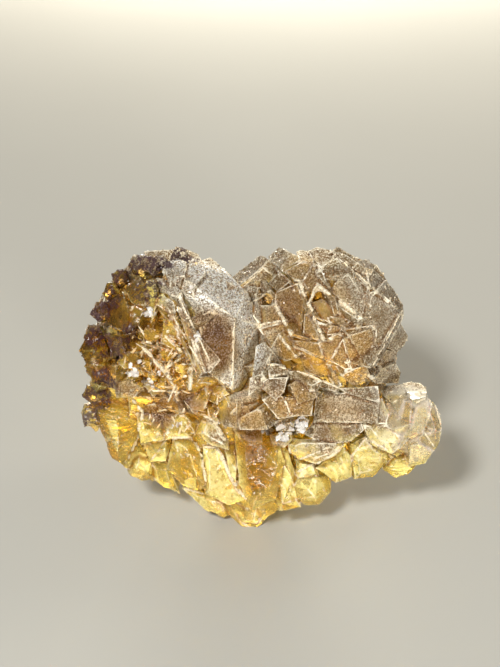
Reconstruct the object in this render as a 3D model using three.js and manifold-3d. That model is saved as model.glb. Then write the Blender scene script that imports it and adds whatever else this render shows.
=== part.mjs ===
// A honey fluorite specimen: two rounded clusters of intergrown cubes that grew on one broken,
// honey-yellow base. Everything is one crystal mass, so it is one solid.
// Millimetres, +Z up. The origin is the middle of the small flat spot that the specimen rests on,
// +X runs along its width and +Y points away from the viewer.
import * as THREE from "three";
import { ConvexGeometry } from "three/addons/geometries/ConvexGeometry.js";
import { mergeVertices } from "three/addons/utils/BufferGeometryUtils.js";
import Module from "manifold-3d";

const wasm = await Module();
wasm.setup();

// The view that the pixel positions below belong to: a 500 x 667 frame seen from eye, tilted down.
const VIEW = {
  centre: [250, 333.5],
  focalPixels: 1250,
  tiltDegrees: 36,
  eye: new THREE.Vector3(0, -131.6, 123.7),
};
const tilt = THREE.MathUtils.degToRad(VIEW.tiltDegrees);
const VIEW_RIGHT = new THREE.Vector3(1, 0, 0);
const VIEW_UP = new THREE.Vector3(0, Math.sin(tilt), Math.cos(tilt));
const VIEW_FORWARD = new THREE.Vector3(0, Math.cos(tilt), -Math.sin(tilt));

// The rounded clusters: where the middle of each lies and how far its crystal faces stand from it.
const LEFT_CLUSTER = { middle: new THREE.Vector3(-10.3, 4.9, 23.4), radius: 11.8 };
const RIGHT_CLUSTER = { middle: new THREE.Vector3(10.6, 7.8, 24.3), radius: 10.1 };
const END_KNOB = { middle: new THREE.Vector3(21.6, -2.8, 14.4), radius: 4.5 };
const SADDLE = { middle: new THREE.Vector3(3.5, 1.5, 16.5), radius: 9.5 };

// The rounded surface that the broken pieces at the base's back and underside lie on.
const BOWL = { middle: new THREE.Vector3(-0.5, 3.2, 14.5), radii: [17.2, 9.4, 11.2] };

// The crystals and broken pieces on the sides that the view doesn't show: how many places are tried,
// the smallest and largest size, and for crystals how low they reach.
const HIDDEN_LEFT = { count: 70, size: [4.4, 6.2], seed: 7, lowest: 15 };
const HIDDEN_RIGHT = { count: 60, size: [4.4, 6.0], seed: 8, lowest: 15 };
const HIDDEN_KNOB = { count: 20, size: [2.8, 4.0], seed: 9, lowest: 9 };
const HIDDEN_BASE = { count: 56, size: [3.0, 4.8], seed: 300 };

const CUBE_DEPTH = 5.5; // how far a crystal runs into the mass behind its outer face
const CORE_SHARE = 0.95; // how much of a cluster's radius its inner mass fills
const FOOT_HEIGHT = 5; // how high the foot reaches into the base
const WELD_WITHIN = 1e-4; // corners of one piece nearer than this are the same corner
const MERGE_WITHIN = 0.08; // corners of the joined mass nearer than this become one
const LEAST_FACING = 0.35; // how much of a face at least looks at the viewer, 1 being all of it

// A repeatable stream of numbers from 0 to 1.
function numbers(seed) {
  let state = seed >>> 0;
  return () => {
    state = (state + 0x6d2b79f5) >>> 0;
    let mixed = Math.imul(state ^ (state >>> 15), 1 | state);
    mixed = (mixed + Math.imul(mixed ^ (mixed >>> 7), 61 | mixed)) ^ mixed;
    return ((mixed ^ (mixed >>> 14)) >>> 0) / 4294967296;
  };
}

// The direction from the eye through a pixel.
function sightLine([x, y]) {
  return VIEW_FORWARD.clone()
    .multiplyScalar(VIEW.focalPixels)
    .addScaledVector(VIEW_RIGHT, x - VIEW.centre[0])
    .addScaledVector(VIEW_UP, VIEW.centre[1] - y)
    .normalize();
}

// Where the sight line through a pixel meets a ball, or comes nearest to a ball that it misses.
function pointOnBall(ball, pixel) {
  const line = sightLine(pixel);
  const ray = new THREE.Ray(VIEW.eye, line);
  const hit = ray.intersectSphere(new THREE.Sphere(ball.middle, ball.radius), new THREE.Vector3());
  return hit ?? ray.closestPointToPoint(ball.middle, new THREE.Vector3());
}

// The point at a pixel whose y is across.
function pointAtY([x, y], across) {
  const line = sightLine([x, y]);
  return VIEW.eye.clone().addScaledVector(line, (across - VIEW.eye.y) / line.y);
}

function solidFrom(geometry, matrix) {
  const bare = new THREE.BufferGeometry().setAttribute("position", geometry.getAttribute("position"));
  if (geometry.index) bare.setIndex(geometry.index);
  const merged = mergeVertices(bare.clone().applyMatrix4(matrix), WELD_WITHIN);
  return new wasm.Manifold(
    new wasm.Mesh({
      numProp: 3,
      vertProperties: new Float32Array(merged.attributes.position.array),
      triVerts: new Uint32Array(merged.index.array),
    }),
  );
}

// A cube crystal whose outer face has its middle at point, looks along normal and has its first edge
// along edge. size is the outer face's width and height.
function cubeAt(point, normal, edge, size) {
  const across = new THREE.Vector3().crossVectors(normal, edge).normalize();
  const along = new THREE.Vector3().crossVectors(across, normal).normalize();
  const matrix = new THREE.Matrix4().makeBasis(along, across, normal);
  matrix.setPosition(point.clone().addScaledVector(normal, -CUBE_DEPTH / 2));
  return solidFrom(new THREE.BoxGeometry(size[0], size[1], CUBE_DEPTH), matrix);
}

// The middle of a list of pixels.
function middleOf(pixels) {
  return [0, 1].map((i) => pixels.reduce((sum, pixel) => sum + pixel[i], 0) / pixels.length);
}

// A direction turned by lean: degrees to the picture's right and degrees up in the picture. It is kept
// from turning so far from the viewer that the face would be seen on its edge.
function leaned(direction, lean, line) {
  const [right, up] = lean.map((degrees) => Math.tan(THREE.MathUtils.degToRad(degrees)));
  const turned = direction.clone().addScaledVector(VIEW_RIGHT, right).addScaledVector(VIEW_UP, up);
  const normal = turned.normalize();
  const facing = -normal.dot(line);
  if (facing >= LEAST_FACING) return normal;
  const sideways = normal.addScaledVector(line, facing).normalize();
  return sideways
    .multiplyScalar(Math.sqrt(1 - LEAST_FACING ** 2))
    .addScaledVector(line, -LEAST_FACING);
}

// Pixels carried onto the plane through point that looks along normal.
function ontoPlane(pixels, point, normal) {
  const plane = new THREE.Plane().setFromNormalAndCoplanarPoint(normal, point);
  return pixels.map((pixel) => {
    const line = sightLine(pixel);
    const distance = -plane.distanceToPoint(VIEW.eye) / normal.dot(line);
    return VIEW.eye.clone().addScaledVector(line, distance);
  });
}

// A crystal on a ball. The view shows its outer face's corners at pixels, the face leans from the
// ball's own surface by lean, and it stands proud of that surface.
function seenCrystal(ball, { corners, lean = [0, 0], proud = 0.3, depth = CUBE_DEPTH }) {
  const middle = middleOf(corners);
  const point = pointOnBall(ball, middle);
  const outward = point.clone().sub(ball.middle).normalize();
  const normal = leaned(outward, lean, sightLine(middle));
  const face = ontoPlane(corners, point.addScaledVector(outward, proud), normal);
  const foot = face.map((corner) => corner.clone().addScaledVector(normal, -depth));
  return solidFrom(new ConvexGeometry([...face, ...foot]), new THREE.Matrix4());
}

// A large crystal whose faces meet at corners that the view shows, each proud of the ball by its own
// height. The faces between the corners follow from the hull.
function seenBoss(ball, { corners, sink }) {
  const face = corners.map(({ at, proud }) => {
    const point = pointOnBall(ball, at);
    return point.addScaledVector(point.clone().sub(ball.middle).normalize(), proud);
  });
  const inner = face.map((corner) => corner.clone().lerp(ball.middle, sink));
  return solidFrom(new ConvexGeometry([...face, ...inner]), new THREE.Matrix4());
}

// A piece in front of the clusters. The view shows its outline at corners, its middle lies at across,
// and its face leans from the sight line. A bulge gives it a smaller, uneven outer facet, and more
// rings round it off.
function seenPiece({ corners, across, lean = [0, 0], bulge = 0, rings = 1, depth = 5 }, i) {
  const random = numbers(200 + i);
  const middle = middleOf(corners);
  const point = pointAtY(middle, across);
  const normal = leaned(VIEW_FORWARD.clone().negate(), lean, sightLine(middle));
  const outline = ontoPlane(corners, point, normal);
  const ring = (share, height) =>
    outline.map((corner) =>
      corner
        .clone()
        .lerp(point, 1 - share * (0.85 + 0.3 * random()))
        .addScaledVector(normal, height * (0.7 + 0.6 * random())),
    );
  const levels = Array.from({ length: bulge > 0 ? rings : 0 }, (_, k) => {
    const angle = (0.42 * Math.PI * (k + 1)) / rings;
    return rings === 1 ? ring(0.6, bulge) : ring(Math.cos(angle), bulge * Math.sin(angle));
  });
  const inner = outline.map((corner) => corner.clone().lerp(point, 0.15).addScaledVector(normal, -depth));
  return solidFrom(new ConvexGeometry([...outline, ...levels.flat(), ...inner]), new THREE.Matrix4());
}

// Even directions all round, on a golden spiral.
function evenDirections(count) {
  const goldenAngle = Math.PI * (3 - Math.sqrt(5));
  return Array.from({ length: count }, (_, i) => {
    const height = 1 - (2 * (i + 0.5)) / count;
    const ring = Math.sqrt(1 - height * height);
    return new THREE.Vector3(ring * Math.cos(i * goldenAngle), ring * Math.sin(i * goldenAngle), height);
  });
}

// Crystals over the sides of a ball that the view doesn't show, and its rim.
function scatteredCrystals(ball, listed, { count, size, seed, lowest }) {
  const random = numbers(seed);
  const wobble = (share) =>
    new THREE.Vector3(random() - 0.5, random() - 0.5, random() - 0.5).multiplyScalar(share);
  const taken = listed.map((crystal) => pointOnBall(ball, crystal.at ?? middleOf(crystal.corners)));
  const [smallest, largest] = size;
  return evenDirections(count).flatMap((direction) => {
    const way = direction.add(wobble(0.25)).normalize();
    const normal = way.clone().add(wobble(0.55)).normalize();
    const edge = wobble(1).cross(normal);
    const face = [0, 1].map(() => smallest + (largest - smallest) * random());
    const point = ball.middle.clone().addScaledVector(way, ball.radius - 1.5 + 0.9 * random());
    const facing = VIEW.eye.clone().sub(point).normalize().dot(way);
    const crowded = taken.some((spot) => spot.distanceTo(point) < 2.8);
    const left = point.z < lowest || facing > 0.55 || (facing > -0.1 && crowded);
    return left ? [] : [cubeAt(point, normal, edge, face)];
  });
}

// A broken piece: the flat-faced hull of points spread over an ellipsoid.
function chunk({ middle, radii, points = 16, seed, turn = [0, 0, 0] }) {
  const random = numbers(seed);
  const corners = evenDirections(points).map((direction) =>
    direction
      .add(new THREE.Vector3(random() - 0.5, random() - 0.5, random() - 0.5).multiplyScalar(0.5))
      .normalize()
      .multiply(new THREE.Vector3(...radii)),
  );
  const matrix = new THREE.Matrix4().makeRotationFromEuler(
    new THREE.Euler(...turn.map(THREE.MathUtils.degToRad)),
  );
  matrix.setPosition(middle);
  return solidFrom(new ConvexGeometry(corners), matrix);
}

// The right cluster's crystals, from its top down, as the corners of the faces that the view shows.
const RIGHT_CRYSTALS = [
  // Slabs and blocks at the upper left.
  { corners: [[228, 280], [261, 255], [268, 259], [262, 267], [236, 289]], lean: [-6, 10], proud: 0.6 },
  { corners: [[236, 289], [262, 267], [264, 270], [242, 294]], lean: [14, -8], proud: 0.2 },
  { corners: [[242, 291], [260, 272], [264, 268], [270, 273], [262, 281], [245, 294]],
    lean: [-8, 16], proud: 0.3 },
  { corners: [[244, 294], [263, 282], [270, 291], [248, 305]], lean: [10, -10], proud: 0.7 },
  { corners: [[262, 281], [266, 280], [271, 290], [267, 292]], lean: [4, 14], proud: 1.0 },
  { corners: [[268, 283], [279, 272], [290, 281], [278, 291]], lean: [4, -2], proud: 0.9 },
  { corners: [[270, 265], [277, 268], [290, 281], [279, 272]], lean: [6, 30], proud: 0.7, depth: 4 },
  // The blocks along the top.
  { corners: [[268, 257], [279, 247], [302, 258], [283, 271]], lean: [-4, -14], proud: 0.9 },
  { corners: [[284, 271], [301, 262], [313, 264], [330, 290], [308, 292]], lean: [0, -12], proud: 0.8 },
  { corners: [[296, 252], [300, 250], [310, 251], [314, 262], [301, 262]], lean: [0, 6], proud: 0.2 },
  { corners: [[308, 251], [317, 247], [330, 250], [338, 258], [320, 267]], lean: [4, 0], proud: 0.1 },
  { corners: [[311, 261], [320, 266], [331, 291], [316, 274]], lean: [-22, 6], proud: 0.9, depth: 4 },
  { corners: [[320, 267], [337, 258], [348, 272], [337, 281], [325, 279]], lean: [0, -4], proud: 0.9 },
  { corners: [[330, 291], [337, 281], [348, 273], [366, 302], [362, 317]], lean: [2, -2], proud: 1.0 },
  { corners: [[344, 262], [369, 287], [372, 306], [366, 302], [348, 273]], lean: [6, 4], proud: 0.7 },
  { corners: [[330, 250], [346, 255], [357, 262], [366, 268], [369, 287], [344, 262]],
    lean: [0, 4], proud: 0.1 },
  { corners: [[357, 262], [362, 260], [369, 260], [374, 270], [366, 268]],
    lean: [4, 4], proud: 0.9, depth: 3 },
  { corners: [[366, 267], [374, 270], [385, 280], [377, 290], [369, 287]], lean: [6, 2], proud: 0.4 },
  // The long bright ledge, the pit at its upper end and the honey plate under it.
  { corners: [[317, 284], [321, 286], [336, 299], [331, 302]], lean: [-10, 26], proud: 1.2, depth: 3 },
  { corners: [[333, 297], [363, 318], [358, 320], [330, 301]], lean: [-10, 26], proud: 1.1, depth: 3 },
  { corners: [[317, 284], [319, 288], [310, 304], [308, 303]], lean: [20, 4], proud: 1.0, depth: 3 },
  { corners: [[310, 303], [322, 299], [342, 310], [352, 319], [330, 323], [317, 318]],
    lean: [0, -12], proud: 0.1 },
  // The amber face with bright ridges on both sides.
  { corners: [[276, 292], [297, 283], [304, 302], [301, 336], [292, 334], [274, 304]],
    lean: [6, -14], proud: 0.2 },
  { corners: [[296, 281], [301, 283], [311, 313], [307, 314]], lean: [-24, 8], proud: 0.9, depth: 3 },
  { corners: [[306, 310], [311, 311], [325, 341], [320, 341]], lean: [-24, 8], proud: 0.9, depth: 3 },
  { corners: [[298, 280], [303, 281], [310, 291], [304, 292]], lean: [10, 20], proud: 0.8, depth: 3 },
  { corners: [[304, 314], [308, 313], [320, 341], [303, 337]], lean: [0, -4], proud: 0.4 },
  { corners: [[272, 304], [276, 303], [294, 334], [290, 336]], lean: [-20, 14], proud: 0.9, depth: 3 },
  { corners: [[250, 306], [272, 305], [285, 321], [258, 326]], lean: [4, 0], proud: 0.5 },
  { corners: [[256, 326], [286, 319], [287, 322], [259, 329]], lean: [0, 34], proud: 0.9, depth: 3 },
  { corners: [[258, 328], [287, 322], [292, 335], [285, 337], [270, 346]], lean: [2, -16], proud: 0.6 },
  // Small blocks and the smooth honey face in the middle.
  { corners: [[318, 323], [343, 327], [339, 334], [323, 336]], lean: [0, -10], proud: 0.4 },
  { corners: [[317, 321], [330, 325], [329, 327], [318, 324]], lean: [-4, 30], proud: 0.7, depth: 3 },
  { corners: [[330, 316], [342, 318], [347, 323], [341, 327]], lean: [4, 14], proud: 0.9, depth: 3 },
  { corners: [[343, 325], [352, 319], [362, 320], [360, 328], [346, 330]],
    lean: [2, 20], proud: 0.7, depth: 3 },
  // The wedge and the golden bands under it.
  { corners: [[278, 334], [297, 358], [287, 361], [272, 357], [270, 350]], lean: [-4, -8], proud: 0.9 },
  { corners: [[278, 334], [281, 335], [299, 357], [296, 359]], lean: [24, 16], proud: 1.0, depth: 3 },
  { corners: [[285, 339], [318, 343], [326, 361], [304, 350]], lean: [-2, 8], proud: 0.6 },
  { corners: [[318, 343], [341, 332], [345, 341], [330, 361], [326, 361]], lean: [0, 2], proud: 0.7 },
  { corners: [[292, 345], [304, 351], [326, 362], [318, 366], [300, 358]], lean: [0, -20], proud: 0.3 },
  { corners: [[300, 358], [330, 361], [347, 364], [344, 371], [322, 378], [305, 372]],
    lean: [0, -10], proud: -0.2 },
  // The fan of brown-grey plates at the lower right.
  { corners: [[330, 361], [343, 338], [345, 340], [351, 369], [346, 370]], lean: [-4, -2], proud: 0.7 },
  { corners: [[344, 338], [349, 337], [367, 367], [351, 369]], lean: [4, -4], proud: 0.9 },
  { corners: [[349, 336], [373, 328], [375, 338], [369, 357], [366, 366]], lean: [2, -8], proud: 1.1 },
  { corners: [[372, 327], [377, 330], [375, 352], [368, 365], [371, 350]],
    lean: [-14, 8], proud: 1.3, depth: 3 },
  { corners: [[366, 302], [377, 291], [390, 300], [398, 314], [378, 348], [374, 328], [362, 317]],
    lean: [0, 0], proud: 0.7 },
  { corners: [[377, 290], [386, 280], [394, 290], [403, 305], [404, 316], [398, 314], [390, 300]],
    lean: [4, 2], proud: 0.4 },
  { corners: [[399, 313], [404, 317], [398, 328], [375, 367], [370, 368]], lean: [12, 0], proud: 0.8 },
  { corners: [[400, 322], [404, 329], [408, 337], [404, 346], [397, 353], [388, 348]],
    lean: [4, 0], proud: 1.0 },
  { corners: [[387, 350], [397, 353], [396, 363], [384, 370], [376, 366]], lean: [4, -6], proud: 0.4 },
  { corners: [[384, 368], [396, 363], [401, 373], [398, 383], [376, 384], [372, 380]],
    lean: [0, 6], proud: 0.9 },
  // The rough crystal and the fin at the foot of the cluster.
  { corners: [[341, 376], [353, 370], [366, 365], [372, 379], [365, 388], [352, 385]],
    lean: [0, -2], proud: 0.7 },
  { corners: [[331, 372], [334, 372], [342, 386], [335, 389]], lean: [14, 8], proud: 0.9, depth: 3 },
];

// The large frosted crystal on the left cluster's right. Its plates meet in an upright edge.
const LARGE_CRYSTAL = {
  sink: 0.3,
  corners: [
    { at: [192, 267], proud: 0.5 },
    { at: [209, 260], proud: 0.4 },
    { at: [226, 277], proud: 0.6 },
    { at: [242, 297], proud: 1.0 },
    { at: [257, 326], proud: 0.9 },
    { at: [263, 337], proud: 0.4 },
    { at: [257, 361], proud: 0.5 },
    { at: [249, 381], proud: 0.3 },
    { at: [238, 401], proud: 0.3 },
    { at: [229, 387], proud: 0.9 },
    { at: [228, 321], proud: 1.5 },
    { at: [213, 309], proud: 1.3 },
    { at: [190, 286], proud: 0.7 },
    { at: [200, 334], proud: 0.1 },
    { at: [209, 373], proud: 0.1 },
  ],
};

// The left cluster's other crystals: ledges, planks and splinters.
const LEFT_CRYSTALS = [
  // The long planks and ledges that run down beside the large crystal.
  { corners: [[189, 325], [197, 332], [221, 360], [210, 373], [206, 372]], lean: [-8, 6], proud: 0.9 },
  { corners: [[184, 318], [188, 316], [207, 373], [203, 374]], lean: [-20, 2], proud: 0.7, depth: 4 },
  { corners: [[176, 306], [182, 308], [203, 374], [199, 378]], lean: [-12, 4], proud: 0.5, depth: 4 },
  { corners: [[167, 314], [172, 310], [199, 378], [191, 366]], lean: [-24, 0], proud: 0.4, depth: 4 },
  { corners: [[176, 295], [181, 294], [190, 315], [186, 318]], lean: [-10, 12], proud: 0.9, depth: 4 },
  { corners: [[183, 292], [192, 296], [204, 310], [196, 313]], lean: [-10, 16], proud: 0.7, depth: 4 },
  { corners: [[188, 318], [212, 311], [222, 312], [207, 321], [190, 325]],
    lean: [-6, 22], proud: 0.7, depth: 4 },
  // The frosted lumps on top.
  { corners: [[165, 262], [176, 258], [187, 262], [185, 275], [170, 278], [162, 272]],
    lean: [-2, 6], proud: 0.9 },
  { corners: [[176, 250], [186, 249], [198, 254], [203, 262], [188, 266]], lean: [2, 2], proud: 0.3 },
  { corners: [[185, 264], [200, 262], [206, 272], [196, 284], [184, 280]], lean: [2, 8], proud: 0.8 },
  { corners: [[156, 278], [172, 279], [182, 292], [176, 297], [160, 290]], lean: [-4, 4], proud: 0.6 },
  { corners: [[158, 294], [163, 293], [174, 302], [176, 312], [168, 312], [155, 304]],
    lean: [0, 8], proud: 0.5 },
  { corners: [[146, 280], [156, 282], [158, 300], [152, 322], [147, 306]], lean: [10, 2], proud: 0.4 },
  // The yellow ridges behind the rim.
  { corners: [[122, 288], [138, 274], [147, 284], [146, 306], [132, 304]], lean: [-4, 4], proud: 0.1 },
  { corners: [[102, 304], [122, 290], [128, 308], [124, 333], [108, 326]], lean: [-8, 2], proud: 0.2 },
  { corners: [[126, 304], [144, 308], [140, 324], [126, 334]], lean: [10, 4], proud: 0.0 },
  // The honey hollow and the splinters that cross it.
  { corners: [[134, 332], [150, 328], [164, 336], [150, 346]], lean: [0, -14], proud: 0.0 },
  { corners: [[140, 340], [150, 345], [157, 346], [150, 354]], lean: [0, 20], proud: 0.4, depth: 4 },
  { corners: [[162, 318], [172, 320], [182, 340], [178, 356], [160, 344]], lean: [-2, -8], proud: 0.1 },
  { corners: [[168, 335], [172, 336], [183, 352], [179, 354]], lean: [-20, 8], proud: 0.9, depth: 4 },
  { corners: [[156, 346], [176, 352], [172, 362], [162, 364]], lean: [4, -12], proud: 0.0 },
  { corners: [[140, 346], [145, 345], [160, 368], [155, 366]], lean: [-10, 12], proud: 0.7, depth: 4 },
  { corners: [[152, 360], [158, 358], [174, 380], [170, 382]], lean: [-8, 14], proud: 0.9, depth: 4 },
  { corners: [[164, 368], [170, 368], [174, 381], [170, 384]], lean: [8, 6], proud: 1.1, depth: 4 },
  { corners: [[164, 366], [180, 356], [183, 359], [168, 369]], lean: [6, 24], proud: 0.9, depth: 4 },
  { corners: [[170, 364], [192, 364], [198, 378], [180, 378]], lean: [0, -16], proud: -0.2 },
  { corners: [[190, 366], [194, 367], [192, 390], [189, 392]], lean: [6, 2], proud: 1.2, depth: 4 },
  { corners: [[120, 350], [138, 352], [136, 366], [124, 370], [116, 362]], lean: [-6, 4], proud: 0.4 },
  { corners: [[126, 368], [136, 364], [142, 375], [133, 381], [126, 379]],
    lean: [0, 4], proud: 0.9, depth: 4 },
  { corners: [[142, 360], [152, 362], [152, 374], [142, 372]], lean: [2, -10], proud: 0.1 },
  { corners: [[147, 375], [154, 373], [157, 382], [149, 386]], lean: [4, 4], proud: 0.8, depth: 4 },
  { corners: [[106, 364], [116, 366], [115, 390], [104, 384]], lean: [-6, 0], proud: 0.3 },
  { corners: [[114, 384], [128, 380], [142, 388], [134, 398], [116, 398]], lean: [-2, 2], proud: 0.1 },
  { corners: [[143, 386], [166, 382], [168, 392], [152, 396]], lean: [4, -4], proud: 0.0 },
  { corners: [[104, 334], [120, 336], [124, 352], [110, 360]], lean: [-6, 0], proud: 0.2 },
];

// The dark knobs along the left cluster's outer rim: a pixel, and a radius in millimetres.
const RIM_KNOBS = [
  { at: [143, 266], radius: 2.1 },
  { at: [157, 265], radius: 1.8 },
  { at: [180, 257], radius: 1.5 },
  { at: [121, 279], radius: 1.6 },
  { at: [112, 292], radius: 1.5 },
  { at: [100, 302], radius: 0.9 },
  { at: [103, 312], radius: 1.7 },
  { at: [91, 323], radius: 1.2 },
  { at: [96, 336], radius: 1.9 },
  { at: [97, 352], radius: 2.6 },
  { at: [100, 368], radius: 2.3 },
  { at: [100, 384], radius: 1.6 },
  { at: [96, 395], radius: 2.0 },
];

// Crystals in the hollow between the two clusters.
const SADDLE_CRYSTALS = [
  { corners: [[256, 346], [264, 342], [272, 350], [262, 374], [252, 378]], lean: [-14, 4], proud: 1.6 },
  { corners: [[250, 378], [262, 374], [262, 386], [248, 396]], lean: [-14, -2], proud: 1.3 },
  { corners: [[268, 368], [272, 363], [285, 365], [288, 373], [269, 377]], lean: [-2, 4], proud: 1.6 },
  { corners: [[257, 385], [269, 378], [288, 377], [284, 392], [276, 400]], lean: [-2, -6], proud: 1.3 },
  { corners: [[290, 385], [296, 380], [314, 388], [317, 397], [298, 404]], lean: [-10, -2], proud: 1.5 },
  { corners: [[286, 371], [300, 371], [322, 381], [312, 386]], lean: [-10, 20], proud: 1.8 },
  { corners: [[262, 400], [276, 392], [284, 398], [292, 417], [278, 419]], lean: [0, -14], proud: 0.7 },
  { corners: [[284, 399], [300, 403], [314, 396], [312, 416], [292, 417]], lean: [-6, -12], proud: 0.7 },
  { corners: [[213, 404], [228, 396], [237, 400], [236, 428], [222, 426]], lean: [-6, -6], proud: 1.2 },
  { corners: [[237, 402], [247, 406], [250, 413], [238, 420]], lean: [-6, 4], proud: 0.9 },
  { corners: [[237, 419], [257, 409], [261, 411], [268, 430], [240, 430]], lean: [0, 4], proud: 1.3 },
];

// The clear knob at the right-hand end.
const KNOB_CRYSTALS = [
  { corners: [[380, 392], [384, 386], [402, 384], [406, 392], [392, 404]],
    lean: [-4, 8], proud: 0.7, depth: 4 },
  { corners: [[402, 384], [408, 382], [420, 383], [426, 388], [427, 396], [412, 400]],
    lean: [0, 6], proud: 0.5, depth: 4 },
  { corners: [[412, 400], [427, 396], [432, 406], [424, 432], [410, 436]],
    lean: [4, 4], proud: 0.6, depth: 4 },
  { corners: [[427, 396], [434, 402], [441, 418], [443, 430], [436, 432], [430, 412]],
    lean: [6, 2], proud: 0.4, depth: 4 },
  { corners: [[424, 432], [443, 430], [441, 441], [434, 452], [420, 444]],
    lean: [4, -4], proud: 0.5, depth: 4 },
  { corners: [[380, 404], [392, 404], [412, 400], [410, 424], [392, 430], [380, 424]],
    lean: [-6, 0], proud: 0.5, depth: 4 },
  { corners: [[410, 446], [420, 444], [434, 450], [426, 464], [408, 468]],
    lean: [2, -10], proud: 0.2, depth: 4 },
];

// The plates and splinters in front of the clusters, and the broken yellow pieces of the base under
// them: each one's outline in the view, and the y that its middle lies at.
const FRONT_PIECES = [
  // Plates and splinters between the clusters and the base.
  { corners: [[170, 392], [186, 386], [204, 384], [212, 392], [204, 412], [184, 408]],
    across: -4.6, lean: [0, 4] },
  { corners: [[204, 384], [224, 386], [230, 394], [214, 404], [204, 398]], across: -4.2, lean: [-6, 10] },
  { corners: [[168, 384], [173, 386], [186, 412], [181, 414]], across: -6.0, lean: [-20, 8], depth: 3 },
  { corners: [[186, 408], [204, 404], [214, 406], [220, 424], [200, 418]], across: -5.4, lean: [0, 6] },
  { corners: [[318, 381], [324, 380], [339, 388], [335, 392], [316, 386]], across: -3.6, lean: [-6, 14] },
  { corners: [[317, 391], [346, 393], [379, 404], [378, 423], [313, 422]], across: -4.2, lean: [2, 10] },
  { corners: [[338, 388], [366, 388], [378, 386], [380, 403], [346, 393]], across: -3.0, lean: [2, 22] },
  { corners: [[372, 404], [382, 398], [390, 412], [386, 424], [376, 424]], across: -4.2, lean: [-8, 8] },
  { corners: [[313, 421], [360, 419], [364, 430], [352, 441], [325, 445], [304, 434]],
    across: -6.0, lean: [0, 12] },
  { corners: [[272, 422], [292, 416], [296, 420], [292, 432], [278, 430]], across: -6.6, lean: [0, 12] },
  { corners: [[296, 420], [302, 416], [309, 420], [306, 431], [296, 434]],
    across: -6.8, lean: [4, 8], depth: 4 },
  { corners: [[269, 434], [290, 431], [293, 440], [284, 448], [272, 444]],
    across: -7.2, bulge: 0.3, depth: 4 },
  // The left-hand end of the base.
  { corners: [[92, 402], [104, 396], [132, 396], [143, 412], [136, 440], [122, 466], [112, 458], [100, 430]],
    across: -3.2, lean: [-12, -2], bulge: 1.8, rings: 3 },
  { corners: [[80, 412], [84, 403], [96, 402], [106, 414], [100, 428], [84, 427]],
    across: -1.8, bulge: 0.7, depth: 6 },
  { corners: [[134, 392], [150, 390], [166, 396], [164, 440], [140, 444]],
    across: -4.0, lean: [0, 12], bulge: 0.3 },
  { corners: [[143, 440], [166, 436], [172, 442], [166, 462], [150, 462]],
    across: -3.8, lean: [0, -8], bulge: 0.3 },
  { corners: [[127, 470], [132, 456], [140, 452], [152, 462], [153, 480], [142, 482], [130, 476]],
    across: -3.6, lean: [-4, -12], bulge: 1.0 },
  { corners: [[150, 462], [168, 462], [172, 480], [180, 494], [164, 488], [153, 480]],
    across: -3.8, lean: [0, -14], bulge: 0.6 },
  { corners: [[160, 414], [186, 408], [198, 422], [190, 438], [164, 440]],
    across: -5.2, lean: [0, 8], bulge: 0.5 },
  // The bright wedge and the columns left of the middle.
  { corners: [[172, 437], [190, 437], [200, 450], [206, 484], [196, 492], [184, 486], [166, 470]],
    across: -6.2, lean: [-6, -12], bulge: 0.9 },
  { corners: [[194, 434], [204, 414], [214, 418], [228, 440], [229, 450], [212, 446]],
    across: -6.8, lean: [0, 8], bulge: 0.8 },
  { corners: [[202, 446], [216, 446], [232, 480], [250, 500], [228, 506], [204, 494]],
    across: -7.2, lean: [-10, -10], bulge: 0.7 },
  { corners: [[224, 450], [236, 440], [238, 476], [236, 486], [230, 478]],
    across: -6.8, lean: [14, -4], bulge: 0.4 },
  // The large amber piece, the tip under it and the ragged lower edge.
  { corners: [[234, 430], [262, 424], [280, 444], [286, 462], [276, 500], [252, 512], [238, 484]],
    across: -7.2, lean: [2, -10], bulge: 1.1 },
  { corners: [[182, 488], [200, 492], [228, 500], [232, 512], [224, 519], [204, 510]],
    across: -5.4, lean: [0, -20], bulge: 0.4 },
  { corners: [[231, 510], [240, 498], [262, 500], [262, 514], [257, 524], [243, 524]],
    across: -6.4, lean: [0, -14], bulge: 0.4, depth: 4 },
  { corners: [[278, 444], [288, 448], [296, 472], [300, 500], [302, 508], [280, 512], [272, 494], [274, 466]],
    across: -6.8, lean: [4, -14], bulge: 0.7 },
  // The rounded shell and the flat facets right of the middle.
  { corners: [[289, 484], [296, 474], [314, 470], [332, 480], [332, 492], [320, 506], [306, 506], [294, 498]],
    across: -7.0, lean: [4, -16], bulge: 1.2, rings: 2 },
  { corners: [[287, 444], [294, 438], [322, 440], [346, 444], [338, 456], [316, 464], [298, 460], [288, 452]],
    across: -7.6, lean: [0, 6], bulge: 0.7 },
  { corners: [[294, 458], [316, 462], [320, 476], [298, 478]], across: -7.0, lean: [0, -8], bulge: 0.5 },
  { corners: [[315, 468], [344, 446], [352, 456], [353, 478], [336, 484]],
    across: -7.0, lean: [8, -12], bulge: 0.5 },
  { corners: [[350, 444], [366, 436], [388, 450], [384, 466], [372, 478], [354, 480]],
    across: -6.0, lean: [8, -10], bulge: 0.7 },
  { corners: [[362, 424], [384, 416], [404, 424], [408, 440], [392, 454], [372, 446]],
    across: -5.6, lean: [4, 4], bulge: 0.6 },
  // The clear, ribbed break under the knob.
  { corners: [[382, 470], [392, 456], [410, 450], [422, 460], [416, 468], [408, 476], [394, 478]],
    across: -4.4, lean: [4, -10], bulge: 0.6, depth: 4 },
  // The lump between the left-hand shell and the pieces under it.
  { corners: [[110, 450], [132, 440], [147, 456], [139, 473], [124, 467]],
    across: -3.0, lean: [-6, -4], bulge: 0.4 },
];

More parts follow.
